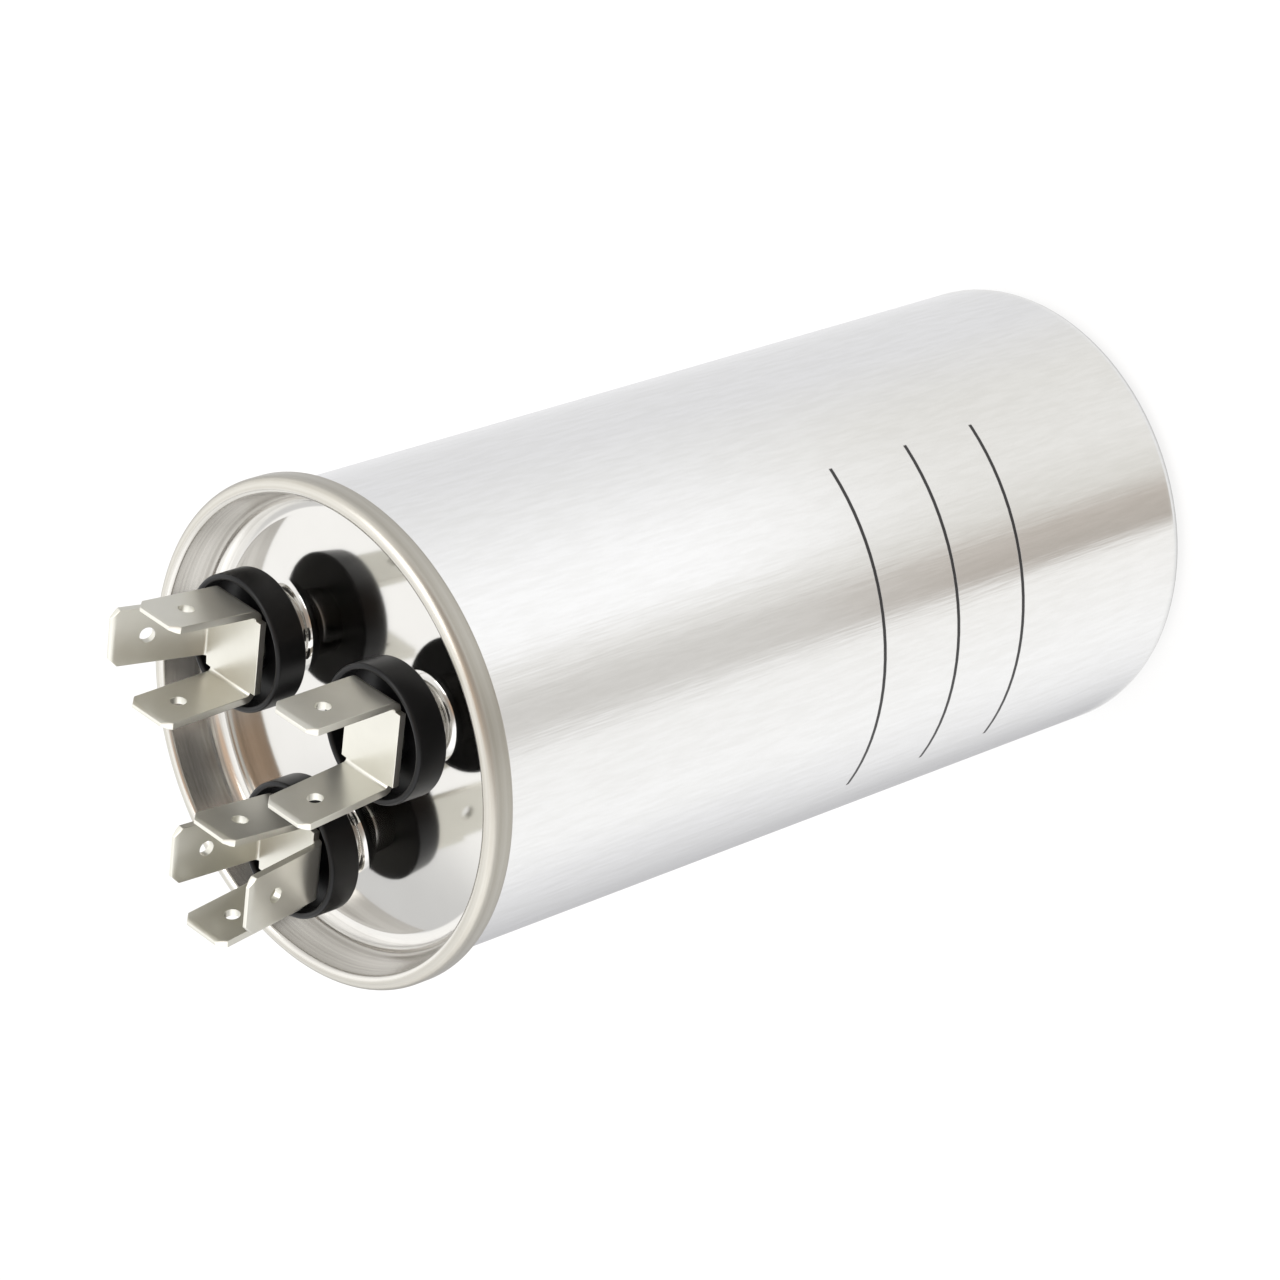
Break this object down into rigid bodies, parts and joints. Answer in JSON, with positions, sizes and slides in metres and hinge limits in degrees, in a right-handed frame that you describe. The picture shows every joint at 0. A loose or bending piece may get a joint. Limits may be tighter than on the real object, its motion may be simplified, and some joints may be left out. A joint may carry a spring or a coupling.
{
  "type": "motor run capacitor",
  "caption": "Round drawn aluminium capacitor can with a rolled seam and a recessed bright cover that carries quick-connect tabs in black insulator cups.",
  "frame": {"origin": "centre of the flat closed end, on which the can stands", "axes": "+Z along the can from the closed end to the terminals; +X and +Y along the edges of the terminal plates, with the common terminal towards -Y"},
  "size_m": [0.053, 0.053, 0.1159],
  "materials": {
    "can_aluminium": "bright drawn aluminium with fine lengthwise draw lines",
    "cover_tinplate": "bright tinplate, mirror-like on the panel",
    "insulator_black": "moulded black, satin gloss",
    "stud_tinned": "tinned brass",
    "tab_tinned": "satin tin plate with sheared edges",
    "washer_rubber": "matt",
    "lead_insulation": "extruded sleeve",
    "liner_plastic": "natural moulded plastic",
    "core_plastic": "natural moulded plastic",
    "wound_film": "metallised film, tightly wound",
    "wrap_film": "clear amber film",
    "sprayed_zinc": "rough sprayed zinc"
  },
  "bodies": {
    "root": {"can": "can_aluminium", "cover": "cover_tinplate", "cup_common": "insulator_black", "cup_compressor": "insulator_black", "cup_fan": "insulator_black", "stud_common": "stud_tinned", "stud_compressor": "stud_tinned", "stud_fan": "stud_tinned", "tabs_common": "tab_tinned", "tabs_compressor": "tab_tinned", "tabs_fan": "tab_tinned", "washer_common": "washer_rubber", "washer_compressor": "washer_rubber", "washer_fan": "washer_rubber", "lead_common": "lead_insulation", "lead_compressor": "lead_insulation", "lead_fan": "lead_insulation", "liner": "liner_plastic", "core": "core_plastic", "winding_compressor": "wound_film", "winding_fan": "wound_film", "section_wrap": "wrap_film", "end_common": "sprayed_zinc", "end_compressor": "sprayed_zinc", "end_fan": "sprayed_zinc"}
  },
  "joints": []
}
